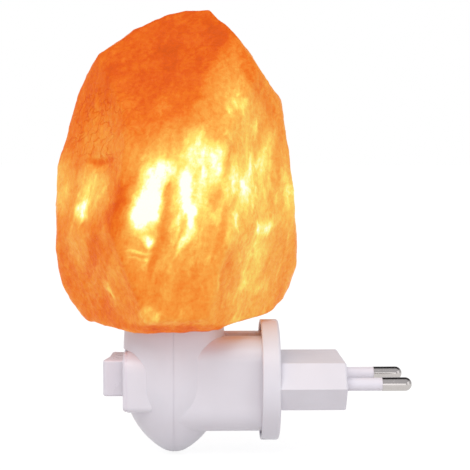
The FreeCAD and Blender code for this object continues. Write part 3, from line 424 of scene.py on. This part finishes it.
def split_salt(settings):
    """Rock salt split by hammer and lit by a bulb inside: cloudy, veined from yellow to deep orange."""
    material, tree, shader, place = new_material("split_rock_salt")
    wander = drifted(tree, place)
    level = veined(tree, place, wander)
    # painted shade and light by facing: faces that look up, farther from the bulb, are painted deeper in
    # colour than those that look to the plug
    facing = add(tree, "TexCoord").outputs["Normal"]
    turned = add(tree, "VectorMath", {0: facing, 1: PAINTED_LIT_SIDE}, operation="DOT_PRODUCT").outputs["Value"]
    level = maths(tree, level, spread(tree, turned, -0.7, 0.5, PAINTED_SHADE_TURNED_FROM, PAINTED_LIGHT_TURNED_TO))
    facing_up = add(tree, "SeparateXYZ", {"Vector": facing}).outputs["Z"]
    level = maths(tree, level, spread(tree, facing_up, FOOT_FULL, FOOT_NONE, FOOT_CHANGE, 0.0))
    # clear flecks where the bulb shines through
    flecks = grain(tree, wander, size=3.2, detail=2.5, roughness=0.55, stretch=(1.0, 1.3, 2.4),
                   lean=VEIN_LEAN)
    lit = spread(tree, level, 0.54, 0.68, 0.0, 1.0, smooth=True)
    level = maths(tree, level, maths(tree, spread(tree, flecks, 0.5, 0.68, -0.03, 0.10), lit, "MULTIPLY"))
    crease = creased(tree, place, wander)
    # the creases, which the relief also dents, are darkened: painted shade
    level = maths(tree, level, maths(tree, crease, CREASE_PAINTED_SHADE, "MULTIPLY"))
    crumbs = grain(tree, place, size=1.3, detail=4.0, roughness=0.7)
    # the crumbs' hollows, which the relief dents from the same noise, are darker: painted shade beside
    # random tone
    level = maths(tree, level, vary(tree, crumbs, -CRUMB_TONE_AND_SHADE, CRUMB_TONE_AND_SHADE))
    level = add(tree, "Clamp", {"Value": level}).outputs["Result"]
    colour = ramp(tree, level, SALT_COLOURS)
    glow = spread(tree, level, 0.2, 1.0, DIM_GLOW * settings.glow, BRIGHT_GLOW * settings.glow)
    glow = maths(tree, glow, spread(tree, facing_up, FOOT_FULL, FOOT_NONE, FOOT_GLOW, 1.0), "MULTIPLY")
    fine = grain(tree, place, size=0.9, detail=4.0, roughness=0.65)
    height = maths(tree, maths(tree, maths(tree, crumbs, 2.0, "MULTIPLY"), fine), crease, "SUBTRACT")
    finish(tree, shader, Base_Color=shaded(tree, colour, BODY_SHARE), Roughness=vary(tree, fine, 0.36, 0.6),
           IOR=1.544, Specular_IOR_Level=0.12, Emission_Color=colour, Emission_Strength=glow,
           Normal=relief(tree, height, depth=0.16))
    return material


def clear_glass():
    """Blown soda-lime glass of the bulb: clear, thin and smooth."""
    material, tree, shader, place = new_material("blown_glass")
    waves = grain(tree, place, size=6.0)
    # the faint warm glow is painted light: the filament's light in the glass
    finish(tree, shader, Base_Color=rgba("#FFF6E6"), Roughness=vary(tree, waves, 0.01, 0.05), IOR=1.5,
           Transmission_Weight=0.9, Emission_Color=rgba("#FFD9A0"), Emission_Strength=0.1)
    return material


def glowing_wire():
    """Coiled tungsten at white heat."""
    material, tree, shader, place = new_material("hot_tungsten")
    heat = mottle(tree, grain(tree, place, size=3.0), "#FFC36B", "#FFF0C8")
    finish(tree, shader, Base_Color=heat, Roughness=0.6, Emission_Color=heat, Emission_Strength=3.0)
    return material


def brass_tone(tree, place):
    return mottle(tree, grain(tree, place, size=3.0), "#B8924B", "#D9B56A")


def stamped_brass():
    """Rolled and stamped brass sheet: warm, slightly dulled, with rolling lines."""
    material, tree, shader, place = new_material("stamped_brass")
    lines = grain(tree, place, size=0.6, stretch=(1, 1, 6))
    finish(tree, shader, Base_Color=brass_tone(tree, place), Metallic=1.0,
           Roughness=vary(tree, lines, 0.24, 0.4), Normal=relief(tree, lines, depth=0.01))
    return material


THREAD_PITCH = 1.8  # millimetres


def rolled_thread():
    """Brass rolled into a screw thread, whose turns are drawn as relief."""
    material, tree, shader, place = new_material("rolled_brass_thread")
    up = add(tree, "SeparateXYZ", {"Vector": place}).outputs["Z"]
    angle = maths(tree, up, 2 * math.pi / THREAD_PITCH, "MULTIPLY")
    turns = maths(tree, maths(tree, angle, operation="SINE"), 0.5, "MULTIPLY")
    finish(tree, shader, Base_Color=brass_tone(tree, place), Metallic=1.0, Roughness=0.3,
           Normal=relief(tree, turns, depth=0.5))
    return material


def dark_glass():
    """Pressed black glass round the bulb's contact."""
    material, tree, shader, place = new_material("pressed_black_glass")
    tone = mottle(tree, grain(tree, place, size=2.0), "#141214", "#2B2729")
    finish(tree, shader, Base_Color=tone, Roughness=0.15, IOR=1.52)
    return material


def thermoset():
    """Heat-proof moulding compound of the lampholder: matt, faintly mottled."""
    material, tree, shader, place = new_material("moulded_thermoset")
    tone = mottle(tree, grain(tree, place, size=1.2, detail=5.0), "#CFC9BE", "#E2DDD3")
    finish(tree, shader, Base_Color=tone, Roughness=0.55, IOR=1.6,
           Normal=relief(tree, grain(tree, place, size=0.4), depth=0.015))
    return material


def spring_wire():
    """Drawn spring steel, bright, with lengthwise die marks."""
    material, tree, shader, place = new_material("drawn_spring_steel")
    tone = mottle(tree, grain(tree, place, size=0.3, stretch=(1, 1, 12)), "#9C9EA2", "#C6C8CC")
    finish(tree, shader, Base_Color=tone, Metallic=1.0, Roughness=0.28)
    return material


def soft_insulation():
    """White silicone insulation on the inner leads: soft sheen, slightly dusty."""
    material, tree, shader, place = new_material("silicone_insulation")
    tone = mottle(tree, grain(tree, place, size=2.0), "#DAD6CE", "#EBE8E2")
    finish(tree, shader, Base_Color=tone, Roughness=0.5, IOR=1.42)
    return material


# ---- the crystal's form --------------------------------------------------------------------------

# Places and sizes are in millimetres. The bore and the sawn foot round it are smooth up to a first distance
# from the lamp's axis, and the crystal is rough from the second one. Above the bore all of it is rough.
LAMP_AXIS_X = -49.5
SMOOTH_WITHIN, ROUGH_FROM = 14.3, 16.3
BORE_TOP, ABOVE_BORE = 82.0, 84.0
# the places that crumble most: middle, half sizes, lean in degrees and how much they crumble
CRUMBLY_PLACES = (
    ((-71, -15, 75), (14, 16, 15), 20, 1.0),
    ((-72, -10, 27), (12, 14, 10), 0, 0.8),
    ((-20, -4, 82), (7, 18, 16), -20, 0.6),
    ((-62, 20, 80), (16, 18, 16), 0, 0.6),
)
CRUMBLY_ELSEWHERE = 0.22
# middle, half sizes and lean of two worn places, and how deep each is worn
TIP, TIP_WEAR = ((-40, 0, 110.5), (13, 24, 9), 0), 1.1
CHIP, CHIP_WEAR = ((-70.6, -18, 64.0), (5.2, 9, 2.9), -8), 1.5
# hummocks against the broad waves, and crumbs against the grit
HUMMOCKS, CRUMBS = 0.45, 2.6
# a place counts in full within this share of its half sizes
FULL_WITHIN = 0.3
LEAST_WEIGHT = 0.001
MERGE_WITHIN = 0.002 * MM


def weigh(piece, name, weight_of):
    """A vertex group whose weight at each point comes from the point's place in millimetres."""
    group = piece.vertex_groups.new(name=name)
    for vertex in piece.data.vertices:
        weight = weight_of(vertex.co / MM)
        if weight > LEAST_WEIGHT:
            group.add([vertex.index], min(weight, 1.0), "REPLACE")
    return name


def fade(value, none, full):
    """0 at one limit, 1 at the other, smooth between."""
    share = min(max((value - none) / (full - none), 0.0), 1.0)
    return share * share * (3 - 2 * share)


def near(point, middle, half, lean):
    """1 at an ellipsoid's middle, 0 outside it. The lean tips it to the right in the XZ plane."""
    turn = math.radians(lean)
    away = point - Vector(middle)
    across = away.x * math.cos(turn) - away.z * math.sin(turn)
    up = away.x * math.sin(turn) + away.z * math.cos(turn)
    reach = math.sqrt((across / half[0]) ** 2 + (away.y / half[1]) ** 2 + (up / half[2]) ** 2)
    return fade(reach, 1.0, FULL_WITHIN)


def split_face(point):
    """0 in the bore and on the sawn foot round it, 1 on the split faces."""
    from_axis = math.hypot(point.x - LAMP_AXIS_X, point.y)
    return max(fade(from_axis, SMOOTH_WITHIN, ROUGH_FROM), fade(point.z, BORE_TOP, ABOVE_BORE))


def crumbling(point):
    """How much the crystal's skin crumbles at a point."""
    places = [much * near(point, middle, half, lean) for middle, half, lean, much in CRUMBLY_PLACES]
    return split_face(point) * max(CRUMBLY_ELSEWHERE, *places)


def roughen(piece, group, name, height, size, level=0.5, **settings):
    """Displaces a vertex group by clouds of the given height in metres and size in millimetres."""
    clouds = bpy.data.textures.new(name, "CLOUDS")
    clouds.noise_scale = size * MM
    for key, setting in settings.items():
        setattr(clouds, key, setting)
    finish_with(piece, "DISPLACE", name, strength=height, mid_level=level, vertex_group=group,
                texture=clouds, texture_coords="LOCAL")


def wear(piece, name, place, depth):
    """Wears the piece down at a place, by a depth in millimetres."""
    group = weigh(piece, name, lambda point: near(point, *place))
    finish_with(piece, "DISPLACE", name, strength=-depth * MM, mid_level=0.0, vertex_group=group)


# ---- pieces --------------------------------------------------------------------------------------


class NIGHTLIGHT_OT_crystal(bpy.types.Operator):
    """Roughens the CAD model's split block into the salt crystal, and gives it its glow"""

    bl_idname = "nightlight.crystal"
    bl_label = "Salt crystal"

    def execute(self, context):
        settings = context.scene.night_light_crystal
        piece = bpy.data.objects.new("rough_salt_crystal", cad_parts["salt_crystal"].data.copy())
        context.scene.collection.objects.link(piece)
        select_only(piece)
        bpy.ops.object.mode_set(mode="EDIT")
        bpy.ops.mesh.select_all(action="SELECT")
        bpy.ops.mesh.remove_doubles(threshold=MERGE_WITHIN)
        bpy.ops.object.mode_set(mode="OBJECT")
        finish_with(piece, "REMESH", "voxels", mode="VOXEL", voxel_size=settings.voxel)
        skin = weigh(piece, "split faces", split_face)
        finish_with(piece, "SMOOTH", "worn edges", iterations=settings.roundness, factor=0.5,
                    vertex_group=skin)
        roughen(piece, skin, "broad waves", settings.swell, size=15.0, level=0.42, noise_depth=1)
        roughen(piece, skin, "hummocks", HUMMOCKS * settings.swell, size=5.5, noise_depth=2)
        crumbly = weigh(piece, "crumbled faces", crumbling)
        roughen(piece, crumbly, "crumbs", CRUMBS * settings.grit, size=1.9, noise_depth=2,
                noise_type="HARD_NOISE")
        wear(piece, "worn tip", TIP, TIP_WEAR)
        wear(piece, "chip", CHIP, CHIP_WEAR)
        bpy.ops.object.shade_smooth()
        piece.data.materials.clear()
        piece.data.materials.append(split_salt(settings))
        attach(piece, "crystal")
        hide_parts("salt_crystal")
        return {"FINISHED"}


class NIGHTLIGHT_OT_housing(bpy.types.Operator):
    """Finishes the housing's two shells and the plug block"""

    bl_idname = "nightlight.housing"
    bl_label = "Housing and plug"

    def execute(self, context):
        colour = context.scene.night_light_finish.housing
        dress(moulded_abs("moulded_abs_shells", colour, 0.36), "switch_side_shell", "plug_side_shell")
        dress(moulded_abs("moulded_abs_plug", colour, 0.34), "plug_housing")
        return {"FINISHED"}


class NIGHTLIGHT_OT_switch(bpy.types.Operator):
    """Finishes the rocker switch and what is inside it"""

    bl_idname = "nightlight.switch"
    bl_label = "Switch"

    def execute(self, context):
        colour = context.scene.night_light_finish.switch
        dress(moulded_abs("moulded_abs_switch", colour, 0.3), "switch_frame", "rocker")
        dress(thermoset(), "switch_plunger", "lampholder_body")
        dress(stamped_brass(), "contact_blade", "common_terminal", "switched_terminal", "centre_contact",
              "side_contact", "bulb_contact")
        return {"FINISHED"}


class NIGHTLIGHT_OT_pins(bpy.types.Operator):
    """Finishes the pins and their sleeves"""

    bl_idname = "nightlight.pins"
    bl_label = "Pins"

    def execute(self, context):
        finish = context.scene.night_light_finish
        dress(plated_pin(finish.nickel), "live_pin", "neutral_pin")
        dress(moulded_abs("moulded_sleeve", finish.sleeve, 0.42), "live_pin_sleeve", "neutral_pin_sleeve")
        return {"FINISHED"}


class NIGHTLIGHT_OT_bulb(bpy.types.Operator):
    """Finishes the bulb, its holder's metal, the clips and the leads"""

    bl_idname = "nightlight.bulb"
    bl_label = "Bulb and wiring"

    def execute(self, context):
        dress(clear_glass(), "bulb_glass", "bulb_stem")
        dress(glowing_wire(), "bulb_filament")
        dress(rolled_thread(), "bulb_cap", "threaded_shell")
        dress(dark_glass(), "bulb_insulator")
        dress(spring_wire(), "front_clip", "back_clip")
        dress(soft_insulation(), "live_lead_in_plug", "neutral_lead_in_plug", "live_lead", "neutral_lead",
              "switch_lead")
        return {"FINISHED"}


# ---- stage ---------------------------------------------------------------------------------------

# places and sizes in metres, the tilt in degrees
FLOOR_WIDTH, FLOOR_GAP = 12.0, 0.3 * MM
CARD_PLACE, CARD_SCALE, CARD_TILT = (0.1, 0.44, 0.67), (1.8, 0.85, 1.0), -33.0
LAMPS = (
    ("key", (-0.35, -0.75, 0.95), 0.7),
    ("fill", (0.9, -0.6, 0.35), 0.8),
    ("front", (-0.05, -1.0, 0.02), 0.6),
)
LAMP_AIM = (-0.040, 0.0, 0.03)
CAMERA_NEAR, CAMERA_FAR = 0.01, 20.0
# strength of the light that whitens the floor for the camera, and the share of its gloss
FLOOR_LIGHT, FLOOR_GLOSS = 0.92, 0.06


def pale_floor():
    """White board with a soft gloss: the camera sees it lit to white, but for the object's shadow."""
    material, tree, shader, _ = new_material("pale_floor")
    finish(tree, shader, Base_Color=rgba("#E6E6E6"), Roughness=0.12)
    shadow = add(tree, "BsdfDiffuse", {"Color": rgba("#7A7A7A")})
    light = add(tree, "Emission", {"Color": WHITE, "Strength": FLOOR_LIGHT})
    seen = add(tree, "AddShader", {0: shadow.outputs[0], 1: light.outputs[0]})
    gloss = add(tree, "BsdfGlossy", {"Color": WHITE, "Roughness": 0.08})
    sheen = add(tree, "MixShader", {0: FLOOR_GLOSS, 1: seen.outputs[0], 2: gloss.outputs[0]})
    ray = add(tree, "LightPath")
    either = maths(tree, ray.outputs["Is Camera Ray"], ray.outputs["Is Glossy Ray"], "MAXIMUM")
    mixed = add(tree, "MixShader", {0: either, 1: shader.outputs["BSDF"], 2: sheen.outputs[0]})
    output = next(node for node in tree.nodes if node.type == "OUTPUT_MATERIAL")
    tree.links.new(mixed.outputs[0], output.inputs["Surface"])
    return material


def black_felt():
    """Black wool felt of the card: no gloss."""
    material, tree, shader, _ = new_material("black_felt")
    finish(tree, shader, Base_Color=rgba("#2E2C2D"), Roughness=0.9)
    return material


def bright_sky(level):
    """Plain light from all round. The camera sees white past the floor."""
    world = bpy.data.worlds.new("studio")
    world.use_nodes = True
    tree = world.node_tree
    tree.nodes.clear()
    lit = add(tree, "Background", {"Color": rgba("#FBFBFF"), "Strength": level})
    white = add(tree, "Background", {"Color": WHITE, "Strength": 1.0})
    ray = add(tree, "LightPath")
    shown = maths(tree, ray.outputs["Is Camera Ray"], ray.outputs["Is Transmission Ray"], "MAXIMUM")
    mixed = add(tree, "MixShader", {0: shown, 1: lit.outputs[0], 2: white.outputs[0]})
    add(tree, "OutputWorld", {"Surface": mixed.outputs[0]})
    return world


def stand(thing, place, aim):
    """Stands a lamp or camera at its place in the scene, turned to its aim."""
    towards = Vector(aim) - Vector(place)
    thing.location = place
    thing.rotation_euler = towards.to_track_quat("-Z", "Y").to_euler()
    bpy.context.scene.collection.objects.link(thing)
    return towards.length_squared


def soft_lamp(name, place, size, level):
    """A square lamp that makes a white surface facing it at the aim about as bright as the level."""
    light = bpy.data.lights.new(name, "AREA")
    light.size = size
    distance_squared = stand(bpy.data.objects.new(name, light), place, LAMP_AIM)
    light.energy = level * math.pi ** 2 * distance_squared


class NIGHTLIGHT_OT_stage(bpy.types.Operator):
    """Sets the pale floor, the soft light and the camera"""

    bl_idname = "nightlight.stage"
    bl_label = "Stage"

    def execute(self, context):
        stage = context.scene.night_light_stage
        lowest = CAD_BOX[0].z
        bpy.ops.object.select_all(action="DESELECT")
        bpy.ops.mesh.primitive_plane_add(size=FLOOR_WIDTH, location=(0, 0, lowest - FLOOR_GAP))
        floor = context.active_object
        floor.name = "floor"
        floor.data.materials.append(pale_floor())

        # a dark card high behind, which only reflections see, draws the edges of the bright pins
        tilt = (math.radians(CARD_TILT), 0, 0)
        bpy.ops.mesh.primitive_plane_add(size=1.0, location=CARD_PLACE, rotation=tilt)
        card = context.active_object
        card.name = "dark_card"
        card.scale = CARD_SCALE
        card.data.materials.append(black_felt())
        for ray in ("camera", "diffuse", "shadow", "transmission"):
            setattr(card, f"visible_{ray}", False)

        context.scene.world = bright_sky(stage.sky)
        for name, place, size in LAMPS:
            soft_lamp(f"{name}_lamp", place, size, getattr(stage, name))
        view = bpy.data.cameras.new("photo_view")
        view.lens = stage.lens
        view.clip_start = CAMERA_NEAR
        view.clip_end = CAMERA_FAR
        camera = bpy.data.objects.new("photo_view", view)
        stand(camera, stage.camera_place, stage.camera_aim)
        context.scene.camera = camera
        context.scene.view_settings.view_transform = "Standard"
        return {"FINISHED"}


# ---- add-on --------------------------------------------------------------------------------------

OPERATORS = (NIGHTLIGHT_OT_stage, NIGHTLIGHT_OT_crystal, NIGHTLIGHT_OT_housing, NIGHTLIGHT_OT_switch,
             NIGHTLIGHT_OT_pins, NIGHTLIGHT_OT_bulb)


class NIGHTLIGHT_PT_panel(bpy.types.Panel):
    """Lists what makes the night light"""

    bl_idname = "NIGHTLIGHT_PT_panel"
    bl_label = "Night light"
    bl_space_type = "VIEW_3D"
    bl_region_type = "UI"
    bl_category = "Night light"

    def draw(self, context):
        for operator in OPERATORS:
            self.layout.operator(operator.bl_idname)
        for group in (context.scene.night_light_crystal, context.scene.night_light_finish,
                      context.scene.night_light_stage):
            box = self.layout.box()
            for name in group.bl_rna.properties.keys():
                if name not in ("rna_type", "name"):
                    box.prop(group, name)


def register():
    for item in (*SETTINGS, *OPERATORS, NIGHTLIGHT_PT_panel):
        bpy.utils.register_class(item)
    bpy.types.Scene.night_light_crystal = bpy.props.PointerProperty(type=CrystalSettings)
    bpy.types.Scene.night_light_finish = bpy.props.PointerProperty(type=FinishSettings)
    bpy.types.Scene.night_light_stage = bpy.props.PointerProperty(type=StageSettings)


def unregister():
    del bpy.types.Scene.night_light_stage
    del bpy.types.Scene.night_light_finish
    del bpy.types.Scene.night_light_crystal
    for item in reversed((*SETTINGS, *OPERATORS, NIGHTLIGHT_PT_panel)):
        bpy.utils.unregister_class(item)


def main():
    register()
    bpy.ops.nightlight.stage()
    bpy.ops.nightlight.crystal()
    bpy.ops.nightlight.housing()
    bpy.ops.nightlight.switch()
    bpy.ops.nightlight.pins()
    bpy.ops.nightlight.bulb()


if __name__ == "__main__":
    main()
